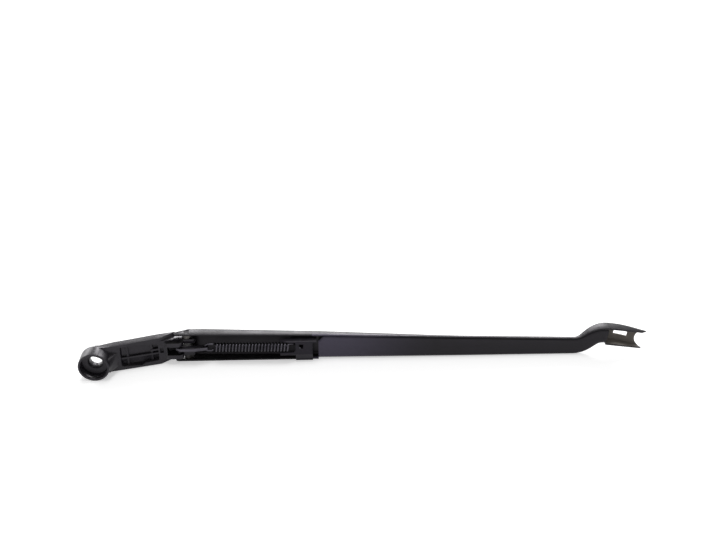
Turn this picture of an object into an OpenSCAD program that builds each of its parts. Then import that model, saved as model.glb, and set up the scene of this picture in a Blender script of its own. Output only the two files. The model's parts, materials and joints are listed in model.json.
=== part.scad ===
/* [Mounting head] */
// Outside diameter of the boss that fits over the spindle
boss_d = 27; // [26:0.2:28]
// Wall of the cup that hangs below the spindle hole
cup_wall = 1.9; // [1.4:0.1:2.6]
// Depth of the cup below the cone
cup_depth = 8.2; // [6:0.2:10]
// Diameter of the straight part of the spindle hole
bore_d = 10.2; // [8:0.1:11.6]
// Length of the straight part of the spindle hole
bore_l = 4; // [3:0.2:6]
// Length of the cone that grips the spindle's taper
cone_l = 3.2; // [2.6:0.2:6]
// How much wider the cone is at its mouth than the straight hole
cone_flare = 2.2; // [1:0.1:2.6]
// Diameter of the flat that is cut for the spindle nut
nut_seat_d = 19; // [17:0.5:20]
// Depth of the beam between spindle and hinge
beam_depth = 7.3; // [6.4:0.1:8]
// Wall left above the pocket in the beam's underside
pocket_floor = 1.8; // [1.2:0.1:2.2]
// Thickness of the cast ribs in the pocket
rib_t = 1.6; // [1:0.1:2.4]
// Width of the neck that reaches in between the arm's flanges
head_neck_w = 20; // [19.4:0.2:22]
// Width of the recess under the neck, around the pin of the spring link
fork_gap = 8.4; // [7.8:0.2:9]
// Room beside the spring link in the slot that it swings up through
link_room = 1; // [0.8:0.1:1.3]

/* [Hinge] */
// Distance from the spindle's axis to the hinge axis
hinge_x = 76; // [72:1:84]
// How far the prongs of the fork reach past the hinge axis
prong_l = 7.5; // [6:0.5:8.5]
// Diameter of the two stub rivets the arm swings on
rivet_d = 4.4; // [4:0.1:4.8]
// Wall of the plastic hinge bushes
bush_wall = 0.6; // [0.5:0.1:0.8]
// Diameter of the bushes' collars, between the fork and the arm's flanges
collar_d = 6.4; // [6.2:0.1:7]
// Radial clearance of the turning joints
running_gap = 0.05; // [0.03:0.01:0.08]
// Clearance between the arm's flanges and the parts between them
side_gap = 0.25; // [0.2:0.05:0.5]

/* [Arm] */
// Thickness of the folded sheet
sheet_t = 1.4; // [1.1:0.1:1.6]
// Distance from the spindle's axis to the tip of the arm
arm_reach = 482; // [450:1:540]
// Width of the channel at the hinge
hinge_w = 27.8; // [27:0.2:30]
// Width of the channel where its underside closes
middle_w = 25.5; // [24.5:0.1:26.5]
// Width of the channel just before the bend
neck_w = 17; // [16:0.1:19]
// Depth of the channel at the hinge
hinge_depth = 11; // [10.8:0.1:12]
// Depth of the flattened part just before the bend
neck_depth = 3.6; // [3.4:0.1:4.6]
// Height of the channel's free edges above the middle of the spindle hole
edge_y = 14; // [12:0.5:16]
// Sideways step of the bend before the blade end
jog_rise = 9.5; // [8:0.1:12]
// Angle at which the bend climbs
jog_angle = 33; // [26:1:36]
// Angle at which the blade end points back down
end_angle = 8; // [4:1:12]

/* [Blade end] */
// Length of the open blade fitting
end_l = 34; // [30:1:40]
// Width of the blade fitting
end_w = 17.4; // [16:0.1:19]
// Depth of the blade fitting at its base
end_depth = 11.6; // [10:0.1:13]
// Length of the window in the back of the blade fitting
window_l = 12; // [9:0.5:13]
// Width of the window in the back of the blade fitting
window_w = 4.6; // [4:0.2:8]

/* [Spring] */
// Outside diameter of the tension spring
spring_d = 8.4; // [7.4:0.1:8.8]
// Diameter of the spring wire
wire_d = 1.8; // [1.4:0.1:2]
// Number of turns of the spring
turns = 23; // [16:1:26]
// Length of the coiled part of the spring
coil_l = 65; // [56:1:68]
// Thickness of the spring link
link_t = 2.4; // [1.8:0.1:2.8]
// Height of the spring link at its ends
link_h = 6; // [5.4:0.1:6.4]
// How far the spring link reaches below its pin
link_drop = 5.3; // [4:0.1:6]
// Diameter of the pin that the spring link turns on
link_pin_d = 3.6; // [3:0.1:4.2]
// Length of the bracket that anchors the spring in the channel
anchor_l = 15; // [12:0.5:16]
// Width of the bracket that anchors the spring
anchor_w = 14.3; // [13.7:0.1:14.9]
// Thickness of the bracket that anchors the spring
anchor_t = 1.6; // [1.2:0.1:1.8]
// How far the spring lies above the middle of the channel
spring_offset = 1.7; // [1:0.1:1.8]

/* [Hidden] */
$fn = 64;

// Overlap that makes cuts and joined bodies clean
eps = 0.02;

// Boss and floor: the part lies on its side, so the boss rests on its outside
boss_r = boss_d / 2;
floor_z = -boss_r;
seat_y = bore_l / 2;
cone_y = -bore_l / 2;
cup_floor_y = cone_y - cone_l;
mouth_y = cup_floor_y - cup_depth;
crown_round = 3;
skirt_draft = 0.2;

// Hinge: its axis runs across the channel, parallel to the floor's normal
web_y = edge_y + hinge_depth;
hinge_y = web_y - 5.9;
mid_z = floor_z + hinge_w / 2;
bush_hole_d = rivet_d + 2 * running_gap;
bush_d = bush_hole_d + 2 * bush_wall;
collar_room = 0.5;
rivet_seat = 0.2;

// Beam: a line under it and a line over it, both falling towards the boss
beam_slope = 14.5;
beam_margin = 0.6;
beam_under_at_hinge = edge_y + 1.8;
beam_half = boss_r - beam_margin;
beam_lo = floor_z + beam_margin;
beam_hi = floor_z + hinge_w - beam_margin;
function beam_under(x) = beam_under_at_hinge + (x - hinge_x) * tan(beam_slope);
function beam_over(x) = beam_under(x) + beam_depth;
kink_x = 16;
shoulder_x = 3.5;
pocket_x = [20.5, hinge_x - 24];
cross_rib_x = [pocket_x[0] + 4.4, pocket_x[1] - 7];

// Neck and fork: the beam ends short of the hinge axis, and two prongs carry the bushes
neck_half = head_neck_w / 2;
neck_end_x = hinge_x - 3;
lug_w = 4;
prong_half = fork_gap / 2 + lug_w;
prong_over = 4.2;
prong_under = 4.1;
slot_x = hinge_x - 16.3;

// Channel: where its shape changes, measured from the spindle's axis
ear_x = hinge_x - 11;
ear_nose = 3.8;
ear_slope = 0.45;
web_x = hinge_x + 2.6;
hinge_end_x = hinge_x + 14;
closed_x = hinge_x + 115.5;
thin_x = closed_x + 125;
end_x = arm_reach - end_l;
fold_r = 1.9;
roll_r = 4.2;
lip_r = 2.4;
lip_gap = 1.2;

// Centre line of the bend: up, straight, and back down to the blade end's angle
jog_r = 20;
jog_flat = (jog_rise - jog_r * (1 - cos(jog_angle)) - jog_r * (cos(end_angle) - cos(jog_angle)))
    / sin(jog_angle);
jog_run = jog_r * sin(jog_angle) + jog_flat * cos(jog_angle)
    + jog_r * (sin(jog_angle) + sin(end_angle));
jog_x = end_x - jog_run;
jog_z = floor_z + neck_w / 2;

// Width and depth of the folded section along the straight part of the arm
function channel_w(x) = lookup(x, [
    [hinge_end_x, hinge_w], [closed_x, middle_w], [thin_x - 15, neck_w + 3.8], [jog_x, neck_w]]);
function channel_depth(x) = lookup(x, [
    [hinge_end_x, hinge_depth], [closed_x, hinge_depth - 3.1], [thin_x, neck_depth + 0.4],
    [jog_x, neck_depth]]);

// Spring line: from the link's pin in the head to the bracket in the channel
link_x = hinge_x - 6.5;
link_y = edge_y - 1.4;
lug_r = 3.8;
block_x = link_x - 12.5;
anchor_lead = 3.1;
anchor_x = closed_x - 20.05;
wing_gap = 0.15;
spring_z = mid_z + spring_offset;
anchor_z = spring_z + spring_d / 2 + wing_gap + anchor_t - anchor_w / 2;
hook_x = anchor_x + anchor_lead / 2;
hook_y = edge_y - 3.6;
hook_r = norm([anchor_lead, anchor_t]) / 2 + wire_d / 2 + 0.3;
coil_r = (spring_d - wire_d) / 2;
coil_end = 7.5;
coil_start = coil_end + coil_l;
loop_lead = 5;
eye_from_hook = coil_start + loop_lead + coil_r;
eye_d = wire_d + 0.8;
pull_angle = atan2(hook_y - link_y, hook_x - link_x);

// Small helpers for outlines and swept bodies
function unit(v) = v / norm(v);
function turn(a) = a > 180 ? a - 360 : a < -180 ? a + 360 : a;
function arc(c, r, a0, a1, n) = [for (i = [0:n]) let (a = a0 + (a1 - a0) * i / n) c + r * [cos(a), sin(a)]];
function smooth(u) = u * u * (3 - 2 * u);

// Corner b between a and c, rounded with radius r
function round_corner(a, b, c, r, n = 5) =
    let (
        u = unit(a - b),
        v = unit(c - b),
        half = acos(u * v) / 2,
        centre = b + unit(u + v) * r / sin(half),
        from = b + u * r / tan(half) - centre,
        to = b + v * r / tan(half) - centre,
        a0 = atan2(from[1], from[0]),
        sweep = turn(atan2(to[1], to[0]) - a0)
    )
    r < 0.05 || norm(u + v) < 0.001 ? [b] : arc(centre, r, a0, a0 + sweep, n);

// Place of a point [x, y, corner radius]
function spot(p) = [p[0], p[1]];

// Closed outline through points [x, y, corner radius]
function outline(p) =
    let (n = len(p))
    [for (i = [0:n - 1])
        each round_corner(spot(p[(i + n - 1) % n]), spot(p[i]), spot(p[(i + 1) % n]), p[i][2])];

// Open path through points [x, y, corner radius]
function route(p) =
    let (n = len(p))
    [for (i = [0:n - 1])
        each (i == 0 || i == n - 1)
            ? [spot(p[i])]
            : round_corner(spot(p[i - 1]), spot(p[i]), spot(p[i + 1]), p[i][2])];

// Strip of sheet of thickness t along a path of points
function strip_normal(p, i) =
    let (n = len(p) - 1, d = unit(p[min(i + 1, n)] - p[max(i - 1, 0)]))
    [-d[1], d[0]];
function strip(p, t) =
    let (n = len(p) - 1)
    concat(
        [for (i = [0:n]) p[i] + strip_normal(p, i) * t / 2],
        [for (i = [n:-1:0]) p[i] - strip_normal(p, i) * t / 2]
    );

// Body through rings that all have the same number of points, each turning left about the way ahead
module sweep(rings) {
    m = len(rings[0]);
    k = len(rings);
    points = [for (r = rings) each r];
    sides = [for (j = [0:k - 2]) for (i = [0:m - 1])
        let (a = j * m + i, b = j * m + (i + 1) % m)
        each [[a, b + m, b], [a, a + m, b + m]]];
    // Each end is closed by strips between points that face each other across the ring
    last = (k - 1) * m;
    ends = [for (i = [0:m / 2 - 2])
        let (a = i, b = i + 1, c = m - 2 - i, d = m - 1 - i)
        each [[a, b, c], [a, c, d], [last + a, last + c, last + b], [last + a, last + d, last + c]]];
    polyhedron(points, concat(sides, ends), convexity = 8);
}

// Shape drawn in side view, x along the arm and y through its depth, w wide around z
module side_shape(z, w) {
    translate([0, 0, z - w / 2]) linear_extrude(w) children();
}

// Shape drawn in plan, x along the arm and y across it, between two depths
module plan_shape(y0, y1) {
    translate([0, y1, 0]) rotate([90, 0, 0]) linear_extrude(y1 - y0) children();
}

// Round bar across the arm
module cross_bar(x, y, z0, z1, d) {
    translate([x, y, z0]) cylinder(h = z1 - z0, d = d);
}

// Mounting head
module boss() {
    rotate([-90, 0, 0]) rotate_extrude($fn = 96) polygon(concat(
        [[0, mouth_y], [boss_r - skirt_draft, mouth_y], [boss_r, mouth_y + 1.2]],
        arc([boss_r - crown_round, seat_y - crown_round], crown_round, 0, 90, 8),
        [[0, seat_y]]
    ));
}

// Spindle hole with its cone, the cup below it and the nut's seat above it
module spindle_hole() {
    bore_r = bore_d / 2;
    cone_r = bore_r + cone_flare / 2;
    cup_r = boss_r - skirt_draft - cup_wall;
    nut_room = 12;
    rotate([-90, 0, 0]) rotate_extrude($fn = 96) polygon([
        [0, mouth_y - eps], [cup_r + 0.3, mouth_y - eps], [cup_r, mouth_y + 0.6], [cup_r - 0.4, cup_floor_y],
        [cone_r + 0.4, cup_floor_y], [cone_r, cup_floor_y + 0.4], [bore_r, cone_y],
        [bore_r, seat_y], [nut_seat_d / 2, seat_y], [nut_seat_d / 2, seat_y + nut_room],
        [0, seat_y + nut_room]
    ]);
}

module beam_side() {
    polygon([
        [0, beam_under(0)],
        [neck_end_x, beam_under(neck_end_x)],
        [neck_end_x, beam_over(neck_end_x)],
        [kink_x, beam_over(kink_x)],
        [shoulder_x, seat_y],
        [0, seat_y]
    ]);
}

// Plan of the beam, its end chamfered where it reaches in between the flanges
module beam_plan() {
    chamfer_l = 3;
    chamfer_w = 1.6;
    polygon(outline([
        [0, -beam_half, 0],
        [hinge_x - 30, beam_lo, 8],
        [neck_end_x - chamfer_l, beam_lo, 0],
        [neck_end_x - chamfer_l, mid_z - neck_half, 0],
        [neck_end_x, mid_z - neck_half + chamfer_w, 0],
        [neck_end_x, mid_z + neck_half - chamfer_w, 0],
        [neck_end_x - chamfer_l, mid_z + neck_half, 0],
        [neck_end_x - chamfer_l, beam_hi, 0],
        [hinge_x - 26, beam_hi, 8],
        [kink_x + 4, beam_half - 0.3, 8],
        [0, beam_half, 0]
    ]));
}

// Room beside the neck for the arm's ears, behind a wall that leans with their round ends
module ear_room() {
    room_w = 10;
    wall_foot = ear_x - 11.4;
    wall_top = ear_x + 0.8;
    for (side = [-1, 1])
        side_shape(mid_z + side * (neck_half + room_w / 2), room_w) polygon([
            [wall_foot, mouth_y], [wall_foot, edge_y - 4], [wall_top, edge_y + 6.5],
            [wall_top, web_y], [hinge_x, web_y], [hinge_x, mouth_y]
        ]);
}

// Pocket cast into the underside, deeper than the ribs that are left in it, and a small pit beside it
module pocket() {
    lo = beam_lo;
    hi = beam_hi;
    step_x = pocket_x[0] + 20;
    pit_l = 3;
    pit_w = 5.3;
    pit_x = pocket_x[1] + 1.4;
    pit_depth = 3;
    side_shape(mid_z + 0.4, pit_w)
        translate([pit_x, mouth_y]) square([pit_l, beam_under(pit_x) + pit_depth - mouth_y]);
    intersection() {
        plan_shape(mouth_y, web_y) polygon(outline([
            [pocket_x[0], lo + 3.4, 2],
            [step_x - 3, lo + 1.8, 1.5],
            [step_x, lo + 3.6, 1],
            [pocket_x[1], lo + 4.2, 1.5],
            [pocket_x[1], hi - 6.2, 1.5],
            [pocket_x[1] - 13, hi - 3.6, 3],
            [pocket_x[0], hi - 3.2, 2]
        ]));
        side_shape(mid_z, 2 * boss_d) polygon([
            [0, mouth_y], [hinge_x, mouth_y],
            [hinge_x, beam_over(hinge_x) - pocket_floor], [0, beam_over(0) - pocket_floor]
        ]);
    }
}

// Outline of a rib in side view, between two places, its edge set back from the pocket's rim
module rib_side(x0, x1, drop) {
    polygon([
        [x0, beam_under(x0) + drop], [x1, beam_under(x1) + drop],
        [x1, beam_over(x1) - 1], [x0, beam_over(x0) - 1]
    ]);
}

// Ribs along and across the pocket, lower than its rim
module pocket_ribs() {
    rib_drop = 2.4;
    long_z = mid_z - 3.2;
    short_z = long_z + 3.8;
    intersection() {
        union() {
            side_shape(long_z, rib_t) rib_side(pocket_x[0] - 1, pocket_x[1] + 1, rib_drop);
            side_shape(short_z, rib_t) rib_side(cross_rib_x[1], pocket_x[1] + 1, rib_drop);
            for (x = cross_rib_x)
                side_shape(mid_z, boss_d) rib_side(x, x + rib_t, rib_drop + 1);
        }
        side_shape(mid_z, boss_d - 4) beam_side();
    }
}

// Sloped web between the cup and the beam's underside
module boss_gusset() {
    gusset_w = 13;
    foot_y = mouth_y + 3.5;
    top_x = pocket_x[0] - 2;
    side_shape(-1, gusset_w) polygon([
        [boss_r - 4, foot_y], [boss_r - 0.6, foot_y], [top_x, beam_under(top_x) + eps],
        [boss_r - 4, beam_under(boss_r - 4) + 1]
    ]);
}

// Block under the neck that carries the link's pin; the fork's slot opens it in the middle
module pin_block() {
    ramp_l = 3;
    side_shape(mid_z, 2 * prong_half) polygon(concat(
        [[block_x, beam_under(block_x) + 1], [block_x, beam_under(block_x)], [block_x + ramp_l, link_y - lug_r]],
        arc([link_x, link_y], lug_r, -90, 0, 8),
        [[link_x + lug_r, beam_under(neck_end_x) + 1]]
    ));
}

// End of the neck at the hinge, rounded over so that the arm's back clears it as it lifts
module prongs() {
    end_r = 2.5;
    tip_x = hinge_x + prong_l;
    lo_y = hinge_y - prong_under;
    hi_y = hinge_y + prong_over;
    side_shape(mid_z, 2 * prong_half) polygon(concat(
        round_corner([hinge_x, lo_y], [tip_x, lo_y], [tip_x, hinge_y], end_r),
        round_corner([tip_x, hinge_y], [tip_x, hi_y], [hinge_x, hi_y], end_r),
        arc([hinge_x, hinge_y], prong_over, 90, 135, 8),
        [[neck_end_x - 3, hinge_y], [neck_end_x - 3, lo_y]]
    ));
}

// Fork: a wide recess under the neck around the link's pin, and a slot that the link swings up through
module fork_slot() {
    far_x = hinge_x + 20;
    skin_x = link_x + 1.2;
    recess_end = link_x + lug_r + eps;
    slot_lo = spring_z - link_t / 2 - link_room;
    slot_hi = mid_z + fork_gap / 2;
    side_shape(mid_z, fork_gap) polygon([
        [slot_x, mouth_y], [slot_x, beam_over(slot_x) - pocket_floor],
        [skin_x, beam_over(skin_x) - pocket_floor], [skin_x, hinge_y - prong_under],
        [recess_end, hinge_y - prong_under], [recess_end, mouth_y]
    ]);
    side_shape((slot_lo + slot_hi) / 2, slot_hi - slot_lo)
        translate([skin_x, mouth_y]) square([far_x - skin_x, web_y - mouth_y]);
}

module mounting_head() {
    color([0.09, 0.09, 0.1]) difference() {
        union() {
            boss();
            difference() {
                intersection() {
                    side_shape(mid_z, 2 * boss_d) beam_side();
                    plan_shape(mouth_y, web_y) beam_plan();
                }
                pocket();
                ear_room();
            }
            pocket_ribs();
            boss_gusset();
            pin_block();
            prongs();
        }
        spindle_hole();
        fork_slot();
        // Bores of the bushes, blind in the thick lower prong
        cross_bar(hinge_x, hinge_y, floor_z, mid_z - fork_gap / 2, bush_d);
        cross_bar(hinge_x, hinge_y, mid_z + fork_gap / 2, floor_z + hinge_w, bush_d);
        // Hollows in the end of the neck that the collars of the bushes stand in
        for (side = [-1, 1])
            side_shape(mid_z + side * (prong_half + neck_half) / 2 + side * eps, neck_half - prong_half + 2 * eps)
                translate([hinge_x, hinge_y]) circle(d = collar_d + 2 * collar_room);
        cross_bar(link_x, link_y, mid_z - prong_half, mid_z + prong_half, link_pin_d);
    }
}

// Hinge bush: pushed into one prong, its collar fills the gap to the flange
module hinge_bush(side) {
    z0 = fork_gap / 2;
    z1 = hinge_w / 2 - sheet_t - side_gap;
    translate([hinge_x, hinge_y, mid_z]) mirror([0, 0, side < 0 ? 1 : 0]) difference() {
        union() {
            translate([0, 0, z0]) cylinder(h = z1 - z0, d = bush_d);
            translate([0, 0, prong_half]) cylinder(h = z1 - prong_half, d = collar_d);
        }
        translate([0, 0, z0 - 1]) cylinder(h = z1 - z0 + 2, d = bush_hole_d);
    }
}

module hinge_bush_upper() {
    color([0.75, 0.74, 0.7]) hinge_bush(1);
}

module hinge_bush_lower() {
    color([0.75, 0.74, 0.7]) hinge_bush(-1);
}

module link_pin() {
    color([0.62, 0.63, 0.65])
        cross_bar(link_x, link_y, mid_z - prong_half, mid_z + prong_half, link_pin_d);
}

// Places [x, z, angle] along the bend
function jog_up() = [for (i = [0:5]) let (a = jog_angle * i / 5)
    [jog_x + jog_r * sin(a), jog_z + jog_r * (1 - cos(a)), a]];
function jog_down() =
    let (
        cx = end_x + jog_r * sin(-end_angle),
        cz = jog_z + jog_rise - jog_r * cos(end_angle)
    )
    [for (i = [0:6]) let (a = jog_angle - (jog_angle + end_angle) * i / 6)
        [cx - jog_r * sin(a), cz + jog_r * cos(a), a]];

// Through the bend the section grows from the neck to the blade end
function bend_depth(x) = neck_depth + (end_depth - neck_depth) * smooth((x - jog_x) / jog_run);
function bend_w(x) = neck_w + (end_w - neck_w) * (x - jog_x) / jog_run;

// Folded sections, across and through the depth: open channel, and channel with rolled underside
function open_section(w, d) =
    let (h = w / 2 - sheet_t / 2, top = edge_y + d - sheet_t / 2, r = min(fold_r, (d - sheet_t) * 0.45))
    strip(concat(
        [[h, edge_y]],
        arc([h - r, top - r], r, 0, 90, 4),
        arc([r - h, top - r], r, 90, 180, 4),
        [[-h, edge_y]]
    ), sheet_t);
function closed_section(w, d, gap) =
    let (
        h = w / 2 - sheet_t / 2,
        top = edge_y + d - sheet_t / 2,
        low = edge_y + sheet_t / 2,
        r = min(fold_r, (d - sheet_t) * 0.45),
        roll = min(roll_r, (d - sheet_t) * 0.52),
        lip = min(lip_r, (d - sheet_t) * 0.4)
    )
    strip(concat(
        [[h, edge_y]],
        arc([h - r, top - r], r, 0, 90, 4),
        arc([r - h, top - r], r, 90, 180, 4),
        arc([roll - h, low + roll], roll, 180, 270, 6),
        arc([h - sheet_t / 2 - gap - lip, low + lip], lip, 270, 325, 4)
    ), sheet_t);

function place(section, at) = [for (p = section)
    [at[0] - p[0] * sin(at[2]), p[1], at[1] + p[0] * cos(at[2])]];
function straight_at(x) = [x, floor_z + channel_w(x) / 2, 0];

module channel_open() {
    steps = 6;
    sweep([for (i = [0:steps])
        let (x = hinge_end_x + (closed_x - hinge_end_x) * i / steps)
        place(open_section(channel_w(x), channel_depth(x)), straight_at(x))]);
}

// The lip starts narrow, so that its front corner is rounded
module channel_closed() {
    lip_start = 5;
    lip_steps = 3;
    steps = 13;
    xs = concat(
        [for (i = [0:lip_steps]) closed_x + lip_start * i / lip_steps],
        [for (i = [1:steps]) closed_x + lip_start + (jog_x - closed_x - lip_start) * i / steps]
    );
    straight = [for (x = xs)
        let (gap = lip_gap + 4 * (1 - smooth(min(1, (x - closed_x) / lip_start))))
        place(closed_section(channel_w(x), channel_depth(x), gap), straight_at(x))];
    up = jog_up();
    bend = [for (at = concat([for (i = [1:len(up) - 1]) up[i]], jog_down()))
        place(closed_section(bend_w(at[0]), bend_depth(at[0]), lip_gap), at)];
    sweep(concat(straight, bend));
}

// Blade end, drawn along its own axis and turned to the end of the bend
module blade_end() {
    steps = 9;
    window_from = 7.7;
    hollow_r = end_w / 2 + 0.2;
    at_x = end_x;
    at_z = jog_z + jog_rise;
    difference() {
        // The nose falls away in a quarter round
        sweep([for (i = [0:steps])
            let (
                u = i / steps,
                fall = 0.72 * end_depth * (1 - cos(max(0, 88 * u - 12) * 1.18)),
                s = end_l * u,
                at = [at_x + s * cos(end_angle), at_z - s * sin(end_angle), -end_angle]
            )
            place(open_section(end_w, max(end_depth - fall, neck_depth)), at)]);
        translate([at_x, edge_y, at_z]) rotate([0, end_angle, 0]) {
            // Window that the blade's latch snaps into
            translate([window_from, 3, -window_w / 2]) cube([window_l, 20, window_w]);
            // Hollow curve in the end of the web, between the two tips
            translate([end_l + 0.8, -5, 0]) rotate([-90, 0, 0]) cylinder(h = 30, r = hollow_r);
        }
    }
}

// End of the channel at the hinge: flat ears with a round nose, and the back cut so that it clears
// the head as the arm lifts
module hinge_end() {
    full_x = ear_x + (hinge_depth + 1 - ear_nose) / ear_slope;
    intersection() {
        union() {
            sweep([for (x = [web_x, hinge_end_x]) place(open_section(hinge_w, hinge_depth), [x, mid_z, 0])]);
            for (side = [-1, 1])
                side_shape(mid_z + side * (hinge_w - sheet_t) / 2, sheet_t)
                    translate([ear_x, edge_y]) square([web_x + eps - ear_x, hinge_depth]);
        }
        side_shape(mid_z, hinge_w + 2) polygon(outline([
            [ear_x, edge_y, 3.2], [ear_x, edge_y + ear_nose, 1.5], [full_x, web_y + 1, 0],
            [hinge_end_x + 1, web_y + 1, 0], [hinge_end_x + 1, edge_y, 0]
        ]));
    }
}

module arm_channel() {
    color([0.1, 0.1, 0.11]) difference() {
        union() {
            hinge_end();
            channel_open();
            channel_closed();
            blade_end();
        }
        cross_bar(hinge_x, hinge_y, floor_z - 1, floor_z + hinge_w + 1, rivet_d);
    }
}

// Stub rivet, its head set flush in the flange
module hinge_rivet(side) {
    inner = fork_gap / 2 + 0.3;
    translate([hinge_x, hinge_y, mid_z]) mirror([0, 0, side < 0 ? 1 : 0])
        translate([0, 0, inner]) cylinder(h = hinge_w / 2 - rivet_seat - inner, d = rivet_d);
}

module hinge_rivet_upper() {
    color([0.3, 0.3, 0.32]) hinge_rivet(1);
}

module hinge_rivet_lower() {
    color([0.3, 0.3, 0.32]) hinge_rivet(-1);
}

// Bracket in the channel, bent from one strip. The spring's hook goes round the leading edge of its
// front and through a hole. One foot bears on the channel's back, the other on a flange's edge
module spring_anchor() {
    half = (anchor_w - anchor_t) / 2;
    inside = half - anchor_t / 2;
    outside = half + anchor_t / 2 + 0.3;
    lower_edge = inside - 1.2;
    plate_end = anchor_x + anchor_l;
    upper_end = plate_end + 3.5;
    wing_x = anchor_x - 13.5;
    back = edge_y + channel_depth(upper_end) - sheet_t;
    base = back - anchor_t / 2 - 0.05;
    foot_y = edge_y - anchor_t / 2 - 0.05;
    foot_z = anchor_z - floor_z - 0.1;
    foot_w = 1.7;
    far = 2 * anchor_w;
    color([0.12, 0.12, 0.13]) translate([0, 0, anchor_z]) difference() {
        intersection() {
            translate([wing_x, 0, 0]) rotate([90, 0, 90]) linear_extrude(upper_end - wing_x)
                polygon(strip(route([
                    [foot_y, -foot_z, 0], [foot_y, foot_w - foot_z, 1], [hook_y, -half, 1.2],
                    [hook_y, half, 1.2], [base, half, 1.4], [base, half + 3.2, 0]
                ]), anchor_t));
            // Plan of the bracket: its wings run on beside the spring
            plan_shape(0, back) polygon(outline([
                [wing_x, -outside, 0], [anchor_x, -outside, 0], [anchor_x, -far, 0], [plate_end, -far, 0],
                [plate_end, inside, 0], [upper_end, inside, 0], [upper_end, far, 0], [wing_x, far, 0],
                [wing_x, inside, 0], [anchor_x, inside, 0], [anchor_x, -lower_edge, 2.5], [wing_x, -lower_edge, 0]
            ]));
        }
        // Upper wing tapers towards its end, in front and behind
        side_shape(anchor_w, 2 * anchor_w) {
            polygon([
                [wing_x - 1, hook_y - 2], [wing_x + 8, hook_y - 2], [wing_x + 8, hook_y - anchor_t / 2],
                [wing_x - 1, hook_y + 1.8]
            ]);
            polygon([
                [wing_x - 1, hook_y + 3.3], [wing_x + 7.5, hook_y + 4.8], [wing_x + 11, back + 1],
                [wing_x - 1, back + 1]
            ]);
        }
        // Hole for the hook, taller than the wire
        translate([anchor_x + anchor_lead, hook_y - 3, spring_z - anchor_z - wire_d / 2 - 0.6])
            cube([wire_d + 1.9, 6, wire_d + 2.4]);
    }
}

// Flat link on edge between the fork's lugs, from the head's pin to the spring's eye
module spring_link() {
    h = link_h / 2;
    span = norm([hook_x - link_x, hook_y - link_y]) - eye_from_hook;
    color([0.5, 0.51, 0.53]) translate([link_x, link_y, spring_z]) rotate([0, 0, pull_angle]) difference() {
        side_shape(0, link_t) polygon(outline([
            [-h, h, h * 0.8],
            [-h, 0.4 - h, h * 0.75],
            [span * 0.09, -link_drop, 2],
            [span * 0.64, -link_drop, 5],
            [span + h, 0.2 - h, h * 0.75],
            [span + h, h - 0.2, h * 0.75],
            [span * 0.65, h - 1.2, 8],
            [span * 0.3, h - 1.2, 8]
        ]));
        cross_bar(0, 0, -link_t, link_t, link_pin_d + 2 * running_gap);
        cross_bar(span + 0.1, 0, -link_t, link_t, eye_d);
    }
}

// Wire of the spring, along x from the loop in the link to the hook at the bracket
per_turn = 12;
wire_sides = 6;
function loop_path() =
    let (tail = coil_start + 2.5, centre = coil_start + loop_lead)
    concat(
        [[tail - 1.3, 0, -coil_r + 1.8], [tail - 1, 0, -coil_r + 0.8], [tail - 0.4, 0, -coil_r + 0.15]],
        [for (a = [-90:15:90]) [centre + coil_r * cos(a), 0, coil_r * sin(a)]],
        [[coil_start + 1, 0, coil_r]]
    );
function coil_path() =
    let (n = turns * per_turn)
    [for (i = [n - 1:-1:0]) let (a = 90 + 30 * i)
        [coil_end + coil_l * i / n, coil_r * cos(a), coil_r * sin(a)]];
function hook_path() = concat(
    [[coil_end - 2.5, 0.9, coil_r - 0.4], [coil_end - 4.8, 2, coil_r - 1.7], [coil_end - 6.5, hook_r - 0.15, 0.5]],
    [for (a = [90:-18.5:-40]) [-hook_r * cos(a), hook_r * sin(a), 0]]
);
function spring_path() = concat(loop_path(), coil_path(), hook_path());

// Tube of radius r along a path, its ring turned as little as possible from point to point
function tangent(p, i) = unit(p[min(i + 1, len(p) - 1)] - p[max(i - 1, 0)]);
function frames(p, first) =
    [for (i = 0, t = tangent(p, 0), n = unit(first - t * (first * t)); i < len(p);
        i = i + 1,
        t = i < len(p) ? tangent(p, i) : t,
        n = unit(n - t * (n * t))) [n, cross(t, n)]];
function tube(p, r, sides, first) =
    let (f = frames(p, first))
    [for (i = [0:len(p) - 1]) [for (k = [0:sides - 1]) let (a = 360 * k / sides)
        p[i] + r * (f[i][0] * cos(a) + f[i][1] * sin(a))]];

module tension_spring() {
    color([0.2, 0.2, 0.21]) translate([hook_x, hook_y, spring_z]) rotate([0, 0, pull_angle])
        mirror([1, 0, 0]) sweep(tube(spring_path(), wire_d / 2, wire_sides, [0, 1, 0]));
}

mounting_head();
hinge_bush_upper();
hinge_bush_lower();
link_pin();
arm_channel();
hinge_rivet_upper();
hinge_rivet_lower();
spring_anchor();
spring_link();
tension_spring();
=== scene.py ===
# %% [markdown]
# # A windscreen wiper arm, dressed for its portrait
# The solids of the arm come from a CAD model: a cast mounting head, a folded sheet channel, a
# bracket, a link, a spring and the small parts of the hinge. They are exact, but they have no
# finish yet, and their edges are razor sharp. This lesson gives each piece its finish, softens
# the edges that a foundry or a press would leave soft, and winds the spring from round wire.
#
# Everything is in metres. +X runs along the arm to the blade end, -Y points to the glass and +Z
# is up, because the arm lies on its side.

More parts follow.
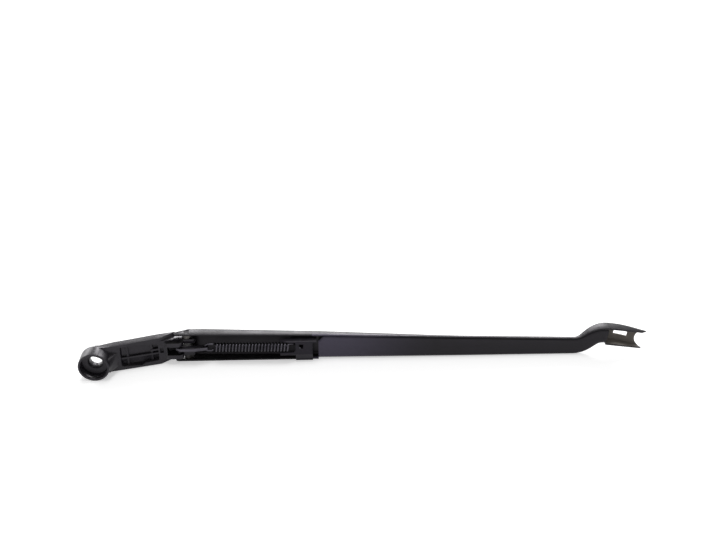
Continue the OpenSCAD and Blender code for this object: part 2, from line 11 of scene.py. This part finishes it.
# %% Load the solids
import json
import math
import bpy
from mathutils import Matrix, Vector


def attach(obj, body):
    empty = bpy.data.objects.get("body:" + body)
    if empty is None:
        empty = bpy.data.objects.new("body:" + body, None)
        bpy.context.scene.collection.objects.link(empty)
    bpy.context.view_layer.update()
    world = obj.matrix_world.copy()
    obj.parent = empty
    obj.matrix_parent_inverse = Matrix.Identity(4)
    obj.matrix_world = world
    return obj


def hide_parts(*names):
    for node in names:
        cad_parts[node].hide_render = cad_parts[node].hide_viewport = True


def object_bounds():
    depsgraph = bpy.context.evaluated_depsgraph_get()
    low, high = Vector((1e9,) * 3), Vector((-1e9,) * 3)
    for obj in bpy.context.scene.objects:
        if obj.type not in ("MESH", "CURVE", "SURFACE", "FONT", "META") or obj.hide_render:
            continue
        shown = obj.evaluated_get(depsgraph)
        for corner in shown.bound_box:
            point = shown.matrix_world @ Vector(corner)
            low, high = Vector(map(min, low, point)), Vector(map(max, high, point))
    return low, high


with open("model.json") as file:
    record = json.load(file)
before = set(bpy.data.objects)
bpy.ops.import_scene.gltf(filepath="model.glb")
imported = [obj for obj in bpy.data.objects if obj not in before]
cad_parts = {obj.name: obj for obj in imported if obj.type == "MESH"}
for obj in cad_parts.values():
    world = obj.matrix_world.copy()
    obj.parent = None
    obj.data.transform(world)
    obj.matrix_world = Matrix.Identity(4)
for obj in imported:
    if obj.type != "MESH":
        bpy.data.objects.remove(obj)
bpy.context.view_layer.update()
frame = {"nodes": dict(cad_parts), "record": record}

mm = 0.001

# %% [markdown]
# ## The camera
# The photograph was taken from above the underside of the arm, looking down about 30 degrees and
# almost square to the arm. A camera could be solved from known points, but only a few points are
# sharp here. So it was fitted: its height, tilt and heading were tuned until the boss, the
# hinge and the blade end fell on their places in the picture.

# %% Camera
def deselect():
    """Clear the selection, so an operator only touches what is chosen after it."""
    bpy.ops.object.select_all(action="DESELECT")


photo_width_px = 722
focal_px = 1000
sensor_mm = 36.0
camera_place = (205.3 * mm, -721.5 * mm, 491.7 * mm)
camera_tilt_deg = 60.5
camera_heading_deg = -1.85

deselect()
bpy.ops.object.camera_add(
    location=camera_place,
    rotation=(math.radians(camera_tilt_deg), 0.0, math.radians(camera_heading_deg)),
)
camera = bpy.context.object
camera.name = "camera"
camera.data.sensor_width = sensor_mm
camera.data.lens = sensor_mm * focal_px / photo_width_px
camera.data.clip_start = 0.01
bpy.context.scene.camera = camera
print("lens:", round(camera.data.lens, 2), "mm")

# %% [markdown]
# ## Floor
# The arm lies on white paper that fades into a white background. A pure white floor would need so
# much light that the arm turned grey. So for the camera and for reflections the paper glows a
# little on top of its own colour, and all other rays see plain paper, so the arm gets no extra
# light from it. Close to the arm the glow is weak, so its soft shadow still shows, and it grows
# with the distance, as on a paper sweep.

# %% Floor
floor_size = 8
floor_middle_x = 0.2
floor_clearance = 0.1 * mm
paper_colour = (0.88, 0.88, 0.88)
near_glow, far_glow = 0.46, 1.0
glow_from, glow_to = 0.35, 1.2

floor_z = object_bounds()[0][2]
deselect()
bpy.ops.mesh.primitive_plane_add(size=floor_size, location=(floor_middle_x, 0, floor_z - floor_clearance))
floor = bpy.context.object
floor.name = "floor"


def seen_directly(nodes, links):
    """1 for rays from the camera, from a mirror or through glass, and 0 for all others."""
    path = nodes.new("ShaderNodeLightPath")
    first = nodes.new("ShaderNodeMath")
    first.operation = "MAXIMUM"
    links.new(path.outputs["Is Camera Ray"], first.inputs[0])
    links.new(path.outputs["Is Glossy Ray"], first.inputs[1])
    both = nodes.new("ShaderNodeMath")
    both.operation = "MAXIMUM"
    links.new(first.outputs[0], both.inputs[0])
    links.new(path.outputs["Is Transmission Ray"], both.inputs[1])
    return both.outputs[0]


def paper_material():
    """Diffuse paper whose glow grows with the distance from the floor's middle."""
    material = bpy.data.materials.new("studio_paper")
    material.use_nodes = True
    nodes, links = material.node_tree.nodes, material.node_tree.links
    nodes.clear()
    out = nodes.new("ShaderNodeOutputMaterial")
    paper = nodes.new("ShaderNodeBsdfDiffuse")
    paper.inputs["Color"].default_value = (*paper_colour, 1)
    away = nodes.new("ShaderNodeVectorMath")
    away.operation = "LENGTH"
    links.new(nodes.new("ShaderNodeTexCoord").outputs["Object"], away.inputs[0])
    glow = nodes.new("ShaderNodeMapRange")
    glow.inputs["From Min"].default_value = glow_from
    glow.inputs["From Max"].default_value = glow_to
    glow.inputs["To Min"].default_value = near_glow
    glow.inputs["To Max"].default_value = far_glow
    links.new(away.outputs["Value"], glow.inputs["Value"])
    level = nodes.new("ShaderNodeMath")
    level.operation = "MULTIPLY"
    links.new(seen_directly(nodes, links), level.inputs[0])
    links.new(glow.outputs[0], level.inputs[1])
    shine = nodes.new("ShaderNodeEmission")
    links.new(level.outputs[0], shine.inputs["Strength"])
    both = nodes.new("ShaderNodeAddShader")
    links.new(paper.outputs[0], both.inputs[0])
    links.new(shine.outputs[0], both.inputs[1])
    links.new(both.outputs[0], out.inputs["Surface"])
    return material


floor.data.materials.append(paper_material())
print("floor at", round(floor_z / mm, 2), "mm")

# %% [markdown]
# ## Light
# The picture shows soft overhead light. The faces that look up reflect a bright sheet behind the
# arm and turn almost white, while the underside stays dark. An image of a studio could light it,
# but a few lamps are easier to aim. One area lamp hangs over the arm, and a long one stands behind
# it, where the camera's mirror image of the upper faces falls. A third, to the left, lights the
# round top of the boss, and a pale world fills the rest.

# %% World
sky_light = 0.4
sky_seen = 1.0

scene = bpy.context.scene
scene.view_settings.view_transform = "Standard"
world = bpy.data.worlds.new("studio")
scene.world = world
world.use_nodes = True
sky_nodes, sky_links = world.node_tree.nodes, world.node_tree.links
sky = sky_nodes["Background"]
sky.inputs["Color"].default_value = (1, 1, 1, 1)
sky_level = sky_nodes.new("ShaderNodeMapRange")
sky_level.inputs["To Min"].default_value = sky_light
sky_level.inputs["To Max"].default_value = sky_seen
sky_links.new(seen_directly(sky_nodes, sky_links), sky_level.inputs["Value"])
sky_links.new(sky_level.outputs[0], sky.inputs["Strength"])
print("sky:", sky_light, "on the arm,", sky_seen, "to the camera")

# %% Lamps
lamps = {
    "overhead_lamp": {
        "place": (0.15, 0.05, 1.3), "aim": (0.22, 0, 0), "width": 0.7, "height": 0.45, "power": 5},
    "back_lamp": {
        "place": (0.38, 1.2, 0.77), "aim": (0.24, 0, 0), "width": 0.95, "height": 0.5, "power": 17},
    "left_lamp": {
        "place": (-0.8, 1.15, 0.45), "aim": (0, 0, 0), "width": 0.8, "height": 0.5, "power": 6},
}


def softbox(name, place, aim, width, height, power):
    """Rectangular lamp at a place, turned to aim at a point, in metres and watts."""
    deselect()
    bpy.ops.object.light_add(type="AREA", location=place)
    lamp = bpy.context.object
    lamp.name = name
    lamp.data.shape = "RECTANGLE"
    lamp.data.size = width
    lamp.data.size_y = height
    lamp.data.energy = power
    lamp.rotation_euler = (Vector(aim) - Vector(place)).to_track_quat("-Z", "Y").to_euler()
    print(name, power, "W")


for lamp_name, setting in lamps.items():
    softbox(lamp_name, **setting)

# %% [markdown]
# ## Grain
# Nearly every part of the arm is painted satin black. Under the paint a casting is lumpy and a
# pressed sheet is almost smooth. Each finish could have its own noise, but both share one paint,
# so one node group makes a fine grain, broad lumps and a slow mottle, and each finish only sets
# how much of each it wants.

# %% Group: grain
def new_group(name, inputs, outputs):
    """Node group with float inputs {name: default} and float outputs."""
    group = bpy.data.node_groups.new(name, "ShaderNodeTree")
    for label, value in inputs.items():
        socket = group.interface.new_socket(name=label, in_out="INPUT", socket_type="NodeSocketFloat")
        socket.default_value = value
    for label in outputs:
        group.interface.new_socket(name=label, in_out="OUTPUT", socket_type="NodeSocketFloat")
    return group, group.nodes.new("NodeGroupInput"), group.nodes.new("NodeGroupOutput")


def object_coords(nodes):
    """Place on the piece in its own coordinates, which are metres of the shared frame."""
    return nodes.new("ShaderNodeTexCoord").outputs["Object"]


def noise(group, scale, detail, roughness=0.5):
    """Noise on object coordinates. Scale is a number, or a socket to take it from."""
    texture = group.nodes.new("ShaderNodeTexNoise")
    texture.inputs["Detail"].default_value = detail
    texture.inputs["Roughness"].default_value = roughness
    group.links.new(object_coords(group.nodes), texture.inputs["Vector"])
    if isinstance(scale, (int, float)):
        texture.inputs["Scale"].default_value = scale
    else:
        group.links.new(scale, texture.inputs["Scale"])
    return texture.outputs["Fac"]


def ramp(group, value, low, high):
    """0 at low, 1 at high, held outside them."""
    spread = group.nodes.new("ShaderNodeMapRange")
    spread.inputs["From Min"].default_value = low
    spread.inputs["From Max"].default_value = high
    group.links.new(value, spread.inputs["Value"])
    return spread.outputs[0]


def combine(group, operation, a, b):
    """Result of a maths node on two sockets or numbers."""
    node = group.nodes.new("ShaderNodeMath")
    node.operation = operation
    for i, value in enumerate((a, b)):
        if isinstance(value, (int, float)):
            node.inputs[i].default_value = value
        else:
            group.links.new(value, node.inputs[i])
    return node.outputs[0]


lump_scale, mottle_scale = 140.0, 60.0
grain, grain_in, grain_out = new_group(
    "surface_grain", {"Scale": 900.0, "Lumps": 0.5}, ["Height", "Mottle"])
fine = noise(grain, grain_in.outputs["Scale"], 3)
broad = noise(grain, lump_scale, 2)
lumpy = combine(grain, "MULTIPLY", broad, grain_in.outputs["Lumps"])
grain.links.new(combine(grain, "ADD", fine, lumpy), grain_out.inputs["Height"])
mottle = ramp(grain, noise(grain, mottle_scale, 4, 0.6), 0.3, 0.7)
grain.links.new(mottle, grain_out.inputs["Mottle"])
print(grain.name, len(grain.nodes), "nodes")

# %% [markdown]
# ## Worn edges
# Paint rubs off an edge in small patches, not in a clean line. The edge itself could be found by a
# pointiness or bevel node, but the bevelled faces further on have a material of their own, so this
# group only breaks the wear up into patches.

# %% Group: worn edges
chip_scale = 420.0
wear, wear_in, wear_out = new_group("edge_wear", {"Amount": 0.5}, ["Mask"])
patches = ramp(wear, noise(wear, chip_scale, 4, 0.65), 0.42, 0.62)
worn_mask = combine(wear, "MULTIPLY", patches, wear_in.outputs["Amount"])
wear.links.new(worn_mask, wear_out.inputs["Mask"])
print(wear.name, len(wear.nodes), "nodes")

# %% [markdown]
# ## Dust
# A little dust settles on faces that look up. It could be modelled as specks, but a thin pale film
# is all the eye sees. The group multiplies how far a face looks up by a rough noise.

# %% Group: dust
speck_scale = 260.0
dust, dust_in, dust_out = new_group("dust_film", {"Amount": 0.1}, ["Mask"])
facing = dust.nodes.new("ShaderNodeSeparateXYZ")
dust.links.new(dust.nodes.new("ShaderNodeTexCoord").outputs["Normal"], facing.inputs[0])
upward = ramp(dust, facing.outputs["Z"], 0.2, 1.0)
specks = ramp(dust, noise(dust, speck_scale, 6, 0.7), 0.35, 0.75)
settled = combine(dust, "MULTIPLY", upward, specks)
dust_mask = combine(dust, "MULTIPLY", settled, dust_in.outputs["Amount"])
dust.links.new(dust_mask, dust_out.inputs["Mask"])
print(dust.name, len(dust.nodes), "nodes")

# %% [markdown]
# ## Painted highlight on the underside
# Just past the bracket the closed underside is brighter and more violet than the rest of the
# sheet, where it catches the light; that highlight is painted into the sheet's colour. A separate
# piece or material would leave a hard border. This mask starts at the bracket and fades out
# smoothly along the arm, and it keeps to the underside.

# %% Group: painted underside highlight
# painted highlight: a mask that lightens the underside past the bracket in its colour
underside_highlight, underside_highlight_in, underside_highlight_out = new_group(
    "painted_underside_highlight", {"Start": 0.186, "End": 0.3, "Depth": 0.016}, ["Mask"])
spot = underside_highlight.nodes.new("ShaderNodeSeparateXYZ")
underside_highlight.links.new(object_coords(underside_highlight.nodes), spot.inputs[0])
fade = underside_highlight.nodes.new("ShaderNodeMapRange")
fade.interpolation_type = "SMOOTHSTEP"
fade.inputs["To Min"].default_value = 1
fade.inputs["To Max"].default_value = 0
underside_highlight.links.new(spot.outputs["X"], fade.inputs["Value"])
underside_highlight.links.new(underside_highlight_in.outputs["Start"], fade.inputs["From Min"])
underside_highlight.links.new(underside_highlight_in.outputs["End"], fade.inputs["From Max"])
past_bracket = combine(underside_highlight, "GREATER_THAN", spot.outputs["X"], underside_highlight_in.outputs["Start"])
underside = combine(underside_highlight, "LESS_THAN", spot.outputs["Y"], underside_highlight_in.outputs["Depth"])
where = combine(underside_highlight, "MULTIPLY", past_bracket, underside)
underside_highlight.links.new(combine(underside_highlight, "MULTIPLY", where, fade.outputs[0]), underside_highlight_out.inputs["Mask"])
print("groups:", [g.name for g in bpy.data.node_groups])

# %% [markdown]
# ## One builder for all finishes
# Paint, plastic, steel and the fork's painted shade differ in colour, roughness and grain, but they are
# built alike.
# Each could have a node tree of its own. One builder keeps them in step: a Principled shader fed by
# the groups. What is the same all over the piece, such as its specular tint, is set on the shader
# itself. What varies goes through the groups: bare metal shows where the edge mask is high, dust
# lightens what faces up, and the mottle shifts the roughness a little.

# %% Finish builder
dust_colour = (0.33, 0.32, 0.31)
bare_metal = (0.42, 0.41, 0.42)
mottle_roughness = 0.12
bump_strength = 0.6
mix_a, mix_b, mix_result = 6, 7, 2


def place_group(tree, group, **values):
    """A shared group placed in a material, with its own values."""
    node = tree.nodes.new("ShaderNodeGroup")
    node.node_tree = group
    for label, value in values.items():
        node.inputs[label].default_value = value
    return node


def mix_colours(tree, mask, a, b):
    """Colour a where the mask is 0 and b where it is 1; either may be a socket."""
    node = tree.nodes.new("ShaderNodeMix")
    node.data_type = "RGBA"
    tree.links.new(mask, node.inputs["Factor"])
    for socket, value in zip((node.inputs[mix_a], node.inputs[mix_b]), (a, b)):
        if isinstance(value, tuple):
            socket.default_value = (*value, 1)
        else:
            tree.links.new(value, socket)
    return node.outputs[mix_result]


def finish(name, colour, dark, rough, *, scale, lumps, depth, metallic=0.0, highlight_colour=None,
           worn=0.0, dusty=0.06, gloss=0.5, tint=(1, 1, 1)):
    """Material from the shared groups: two shades of one colour, grain, wear and dust.

    A further colour, if given, is a painted highlight on the underside just past the bracket. depth is in
    millimetres."""
    material = bpy.data.materials.new(name)
    material.use_nodes = True
    tree = material.node_tree
    shader = tree.nodes["Principled BSDF"]
    shader.inputs["Specular IOR Level"].default_value = gloss
    shader.inputs["Specular Tint"].default_value = (*tint, 1)
    surface = place_group(tree, grain, Scale=scale, Lumps=lumps)
    film = place_group(tree, dust, Amount=dusty)
    shade = mix_colours(tree, surface.outputs["Mottle"], colour, dark)
    # painted highlight on the underside past the bracket, mixed into the colour
    if highlight_colour:
        highlight_patch = place_group(tree, underside_highlight)
        shade = mix_colours(tree, highlight_patch.outputs["Mask"], shade, highlight_colour)
    shade = mix_colours(tree, film.outputs["Mask"], shade, dust_colour)
    rough_shift = combine(tree, "MULTIPLY", surface.outputs["Mottle"], mottle_roughness)
    roughness = combine(tree, "ADD", rough_shift, rough)
    if worn > 0:
        chips = place_group(tree, wear, Amount=worn)
        shade = mix_colours(tree, chips.outputs["Mask"], shade, bare_metal)
        metal = combine(tree, "MAXIMUM", chips.outputs["Mask"], metallic)
        tree.links.new(metal, shader.inputs["Metallic"])
    else:
        shader.inputs["Metallic"].default_value = metallic
    tree.links.new(shade, shader.inputs["Base Color"])
    tree.links.new(roughness, shader.inputs["Roughness"])
    bump = tree.nodes.new("ShaderNodeBump")
    bump.inputs["Strength"].default_value = bump_strength
    bump.inputs["Distance"].default_value = depth * mm
    tree.links.new(surface.outputs["Height"], bump.inputs["Height"])
    tree.links.new(bump.outputs[0], shader.inputs["Normal"])
    return material


print("bare metal:", bare_metal, "dust:", dust_colour)

# %% [markdown]
# ## Paints
# The casting, the sheet and the bracket are painted black with a slight violet cast. One black for
# all would look like plastic, so each piece has its own shade and grain, and a second, lighter
# finish for its worn edges; on the bracket that edge finish is lighter still, worn metal with a
# painted highlight. The faces inside the fork get painted shade, darker and duller than any paint,
# and the inside of the blade fitting is grey with dust.

# %% Paints
violet = (0.96, 0.92, 1.0)
cast_paint = finish("cast_satin_black", (0.0105, 0.0092, 0.013), (0.005, 0.0043, 0.0062), 0.28,
                    scale=700, lumps=1.6, depth=0.03, gloss=0.36, tint=violet)
# inside the fork: a darker, duller copy of the cast paint, painted shade for the slot
fork_painted_shade = finish("fork_painted_shade", (0.006, 0.0052, 0.006), (0.003, 0.0028, 0.003), 0.6,
                     scale=500, lumps=1.0, depth=0.03, gloss=0.08, dusty=0.0)
cast_edge = finish("cast_worn_edge", (0.022, 0.020, 0.026), (0.014, 0.0122, 0.0165), 0.32,
                   worn=0.35, scale=700, lumps=1.6, depth=0.04, gloss=0.35, tint=violet)
# the sheet's extra colour is a painted highlight for the underside past the bracket
sheet_paint = finish("sheet_satin_black", (0.0052, 0.0045, 0.0064), (0.003, 0.0026, 0.0034), 0.31,
                     highlight_colour=(0.062, 0.055, 0.084), scale=1500, lumps=0.3, depth=0.012, gloss=0.26,
                     tint=violet)
sheet_edge = finish("sheet_worn_edge", (0.018, 0.016, 0.021), (0.011, 0.0095, 0.013), 0.3,
                    worn=0.2, scale=1500, lumps=0.3, depth=0.01, gloss=0.25, tint=violet)
fitting_inside = finish("fitting_inside", (0.2, 0.18, 0.16), (0.13, 0.118, 0.106), 0.5,
                        scale=1200, lumps=0.5, depth=0.015, gloss=0.2)
bracket_paint = finish("bracket_black", (0.014, 0.012, 0.018), (0.009, 0.008, 0.012), 0.34,
                       scale=1400, lumps=0.3, depth=0.012, gloss=0.2, tint=violet)
# the bracket's edges: worn metal plus a painted highlight, much lighter than the other edges
bracket_edge_wear_and_highlight = finish("bracket_worn_edge_and_highlight", (0.16, 0.15, 0.17), (0.09, 0.084, 0.1), 0.3,
                      worn=0.8, scale=1400, lumps=0.3, depth=0.01)
print("finishes so far:", len(bpy.data.materials))

# %% [markdown]
# ## Plastic and steel
# The bushes are pale plastic. The lower one lies in shadow, and that shade is painted in as a
# darker copy of the plastic. The pin, the link and the spring are dark steel. Polished steel would
# flash white under the back lamp, so their metal is dark, as phosphated and oiled steel is.

# %% Plastic and steel
bush_plastic = finish("bush_plastic", (0.2, 0.19, 0.18), (0.15, 0.145, 0.135), 0.5,
                      scale=2500, lumps=0.1, depth=0.004, dusty=0.03, gloss=0.3)
# the lower bush: a darker copy of the bush plastic, painted shade
bush_painted_shade = finish("bush_painted_shade", (0.06, 0.056, 0.054), (0.03, 0.028, 0.028), 0.35,
                      scale=900, lumps=0.6, depth=0.006, dusty=0.0, gloss=0.3)
pin_steel = finish("pin_steel", (0.025, 0.024, 0.028), (0.016, 0.015, 0.018), 0.34,
                   metallic=1.0, scale=3000, lumps=0.2, depth=0.003, dusty=0.0)
rivet_paint = finish("rivet_painted", (0.012, 0.011, 0.013), (0.008, 0.0075, 0.009), 0.45,
                     scale=1800, lumps=0.6, depth=0.015, gloss=0.15, tint=violet)
link_steel = finish("link_phosphated", (0.085, 0.08, 0.094), (0.05, 0.047, 0.056), 0.3,
                    metallic=1.0, scale=1600, lumps=0.4, depth=0.01, dusty=0.02)
link_edge = finish("link_worn_edge", (0.09, 0.086, 0.1), (0.05, 0.047, 0.056), 0.3,
                   metallic=1.0, scale=1600, lumps=0.3, depth=0.01, dusty=0.02)
spring_wire = finish("spring_wire", (0.07, 0.066, 0.078), (0.035, 0.033, 0.04), 0.2,
                     metallic=1.0, scale=2400, lumps=0.3, depth=0.006, dusty=0.02)
print("finishes:", len([m for m in bpy.data.materials if m.use_nodes]))

# %% [markdown]
# ## Soft edges
# A cast or pressed part has no sharp edge. The edges could be rounded by hand, or only shaded as if
# round. Here each solid is copied, its doubled points are merged and flat faces joined again, and a
# small bevel rounds what is sharp, because real geometry also catches the light from behind. The
# bevel puts its new faces in the second material slot, so the worn-edge finish lands exactly on the
# edges. The copy then stands for the solid and rides on the same body.

# %% Bevelled copies
merge_mm = 0.002
flat_deg = 0.6
sharp_deg = 32
bevel_segments = 2
smooth_deg = 38


def make_active(piece):
    """Select one piece alone, so operators work on it."""
    deselect()
    piece.select_set(True)
    bpy.context.view_layer.objects.active = piece


def body_of_node(name):
    """Name of the body that a CAD node moves with."""
    for body, nodes in frame["record"]["behaviour"]["bodies"].items():
        if name in nodes:
            return body


def soft_copy(node, name, paint, edge, width):
    """Copy of a solid with edges rounded by a width in mm, in the solid's place."""
    source = frame["nodes"][node]
    mesh = source.data.copy()
    mesh.transform(source.matrix_world)
    piece = bpy.data.objects.new(name, mesh)
    bpy.context.collection.objects.link(piece)
    make_active(piece)
    mesh.materials.clear()
    mesh.materials.append(paint)
    mesh.materials.append(edge)
    bpy.ops.object.mode_set(mode="EDIT")
    bpy.ops.mesh.select_all(action="SELECT")
    bpy.ops.mesh.remove_doubles(threshold=merge_mm * mm)
    bpy.ops.mesh.customdata_custom_splitnormals_clear()
    bpy.ops.mesh.dissolve_limited(angle_limit=math.radians(flat_deg))
    bpy.ops.object.mode_set(mode="OBJECT")
    for face in mesh.polygons:
        face.material_index = 0
    bevel = piece.modifiers.new("soft_edges", "BEVEL")
    bevel.width = width * mm
    bevel.segments = bevel_segments
    bevel.limit_method = "ANGLE"
    bevel.angle_limit = math.radians(sharp_deg)
    bevel.material = 1
    bevel.miter_outer = "MITER_ARC"
    bpy.ops.object.modifier_apply(modifier=bevel.name)
    bpy.ops.object.shade_smooth_by_angle(angle=math.radians(smooth_deg))
    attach(piece, body_of_node(node))
    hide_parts(node)
    print(name, len(mesh.vertices), "points,", len(mesh.polygons), "faces")
    return piece


head = soft_copy("mounting_head", "cast_head", cast_paint, cast_edge, 0.35)
channel = soft_copy("arm_channel", "folded_channel", sheet_paint, sheet_edge, 0.22)
soft_copy("spring_anchor", "hook_bracket", bracket_paint, bracket_edge_wear_and_highlight, 0.2)
soft_copy("spring_link", "pull_link", link_steel, link_edge, 0.25)

# %% [markdown]
# ## Painted shade in the fork
# The fork at the end of the casting lies in shade where the link swings. That shade is painted
# in: the faces there get a finish darker and duller than the cast paint, and the shape stays as it
# is. The faces are picked by place: past the neck, between the prongs, and facing up or down.

# %% Painted shade in the fork
fork_from_x = 57
fork_middle_z = 0.4
fork_half_width = 8.3
side_facing = 0.5
third_slot = 2


def pick_faces(mesh, wanted):
    """Indices of the faces whose middle (in mm) and normal are wanted."""
    return [f.index for f in mesh.polygons if wanted(f.center / mm, f.normal)]


def paint_faces(piece, paint, wanted):
    """Give the wanted faces a third finish, and count them."""
    piece.data.materials.append(paint)
    picked = pick_faces(piece.data, wanted)
    for i in picked:
        piece.data.polygons[i].material_index = third_slot
    return len(picked)


def in_fork(middle, normal):
    """Whether a face lies inside the fork and looks across the arm."""
    between = abs(middle.z - fork_middle_z) < fork_half_width
    return middle.x > fork_from_x and between and abs(normal.z) > side_facing


# the faces inside the fork get the painted shade
print("faces in painted shade:", paint_faces(head, fork_painted_shade, in_fork))

# %% [markdown]
# ## Inside of the blade fitting
# Inside the blade fitting the paint is thin, and the dust of the road has stuck to it, so it looks
# grey and warm there. A painted mask would need a map, and the faces are flat, so they are picked
# by place: past the fitting's base, inside the back and between the two flanges.

# %% Inside of the blade fitting
fitting_turn = math.radians(8)
fitting_x, fitting_z = 448.0, 4.5
fitting_width, sheet_thickness = 17.4, 1.4
fitting_mouth_y, fitting_depth = 14, 11.6
reach_past_skin = 0.15
past_base = 0.5
outward_limit = 0.2
inner_half_width = fitting_width / 2 - sheet_thickness + reach_past_skin
inner_back_y = fitting_mouth_y + fitting_depth - sheet_thickness + reach_past_skin


def in_fitting(middle, normal):
    """Whether a face lies inside the fitting, measured along and across it."""
    dx, dz = middle.x - fitting_x, middle.z - fitting_z
    along = dx * math.cos(fitting_turn) - dz * math.sin(fitting_turn)
    across = dx * math.sin(fitting_turn) + dz * math.cos(fitting_turn)
    inside = along > past_base and abs(across) < inner_half_width
    return inside and normal.y < outward_limit and middle.y < inner_back_y


print("faces inside the fitting:", paint_faces(channel, fitting_inside, in_fitting))

# %% [markdown]
# ## Small parts
# The bushes, the pin and the rivets are small turned parts. They could be copied and bevelled too,
# but hardly more than their rims show, so they keep their solids and only get their finish.

# %% Small parts
small_finishes = {
    "hinge_bush_upper": bush_plastic,
    "hinge_bush_lower": bush_painted_shade,
    "link_pin": pin_steel,
    "hinge_rivet_upper": rivet_paint,
    "hinge_rivet_lower": rivet_paint,
}
for node, paint in small_finishes.items():
    part = frame["nodes"][node]
    part.data.materials.clear()
    part.data.materials.append(paint)
    print(node, "->", paint.name)

# %% [markdown]
# ## The spring
# The solid's spring has a six-sided wire, which is enough for its size but not for a close look.
# Real spring wire is round and bends smoothly from the coil into the hook and the loop. A screw
# modifier could wind the coil alone, but a curve with a round section follows the whole path. The
# path is written along x from the hook, as the maker would wind it, and then turned into place.
#
# The spring stretches by about one turn's pitch when the arm is lifted. The loop is a piece of
# its own that moves with the link and lies over the last turns of the coil, so the spring still
# looks whole when the two ends move apart.

# %% Path of the wire
coil_r, wire_r = 3.3, 0.9
coil_from, coil_len, turns = 7.5, 65.0, 23
points_per_turn = 28
bend_step = 10
loop_lead = 5.0
hook_r = 2.944
hook_lead = [(5.0, 0.9, 2.9), (2.7, 2.0, 1.6), (1.0, 2.79, 0.5)]
hook_at = Vector((173.0, 10.4, 2.1))
pin_at = Vector((69.5, 12.6, 2.1))
pull = math.atan2(hook_at.y - pin_at.y, hook_at.x - pin_at.x)


def helix(turn):
    """Middle of the wire after so many turns from the hook's end."""
    a = math.radians(90) + 2 * math.pi * turn
    return Vector((coil_from + coil_len * turn / turns, coil_r * math.cos(a), coil_r * math.sin(a)))


def coil_points(first, last):
    """Points of the coil from one turn to another, either way."""
    steps = round(abs(last - first) * points_per_turn)
    return [helix(first + (last - first) * i / steps) for i in range(steps + 1)]


def hook_points():
    """The wire leaves the coil and bends round the bracket's edge."""
    bend = [(-hook_r * math.cos(math.radians(a)), hook_r * math.sin(math.radians(a)), 0)
            for a in range(90, -41, -bend_step)]
    return [Vector(p) for p in hook_lead + bend]


def loop_points():
    """The open end of the loop, its bend through the link's eye, and the way back to the coil."""
    start = coil_from + coil_len
    centre = start + loop_lead
    tail = [(start + 1.2, 0, -1.5), (start + 1.5, 0, -2.5), (start + 2.1, 0, -3.15), (start + 3, 0, -3.3)]
    bend = [(centre + coil_r * math.cos(math.radians(a)), 0, coil_r * math.sin(math.radians(a)))
            for a in range(-90, 91, bend_step)]
    lead = [(centre - 1.5, 0, coil_r), (centre - 3, 0, coil_r), (start + 1, 0, coil_r)]
    return [Vector(p) for p in tail + bend + lead]


print("pitch:", round(coil_len / turns, 2), "mm")

# %% [markdown]
# ## Winding the wire
# A curve's round bevel is the quickest way to a wire, and its ends can be capped. It is made a mesh
# with its place in it, because the finished piece has to sit at the origin. The loop is a hair
# thinner than the coil, so the two don't flicker where they overlap.

# %% Wind the wire
coil_stops_short = 0.25
coil_starts_at = 0.05
loop_joins_at = 0.1
overlap = 1.5
thinner_by = 0.02
merge_wire_mm = 0.001
wire_smooth_deg = 50


def wire(name, points, radius):
    """Round wire along points in the spring's own frame, as a closed mesh in place."""
    deselect()
    bpy.ops.curve.primitive_nurbs_path_add()
    piece = bpy.context.object
    piece.name = name
    curve = piece.data
    curve.splines.clear()
    spline = curve.splines.new("NURBS")
    spline.points.add(len(points) - 1)
    for target, p in zip(spline.points, points):
        x, y = -p.x, p.y
        place = hook_at + Vector((
            x * math.cos(pull) - y * math.sin(pull), x * math.sin(pull) + y * math.cos(pull), p.z))
        target.co = (*(place * mm), 1)
    spline.order_u = 4
    spline.use_endpoint_u = True
    spline.resolution_u = 2
    curve.bevel_depth = radius * mm
    curve.bevel_resolution = 3
    curve.use_fill_caps = True
    bpy.ops.object.convert(target="MESH")
    piece = bpy.context.object
    bpy.ops.object.mode_set(mode="EDIT")
    bpy.ops.mesh.select_all(action="SELECT")
    bpy.ops.mesh.remove_doubles(threshold=merge_wire_mm * mm)
    bpy.ops.mesh.normals_make_consistent(inside=False)
    bpy.ops.object.mode_set(mode="OBJECT")
    bpy.ops.object.shade_smooth_by_angle(angle=math.radians(wire_smooth_deg))
    piece.data.materials.clear()
    piece.data.materials.append(spring_wire)
    print(name, len(piece.data.polygons), "faces")
    return piece


coil_path = coil_points(turns - coil_stops_short, coil_starts_at) + hook_points()
coil = wire("spring_coil", coil_path, wire_r)
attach(coil, "spring")
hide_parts("tension_spring")
loop_path = loop_points() + coil_points(turns - loop_joins_at, turns - overlap)
loop = wire("spring_loop", loop_path, wire_r - thinner_by)
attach(loop, "link")
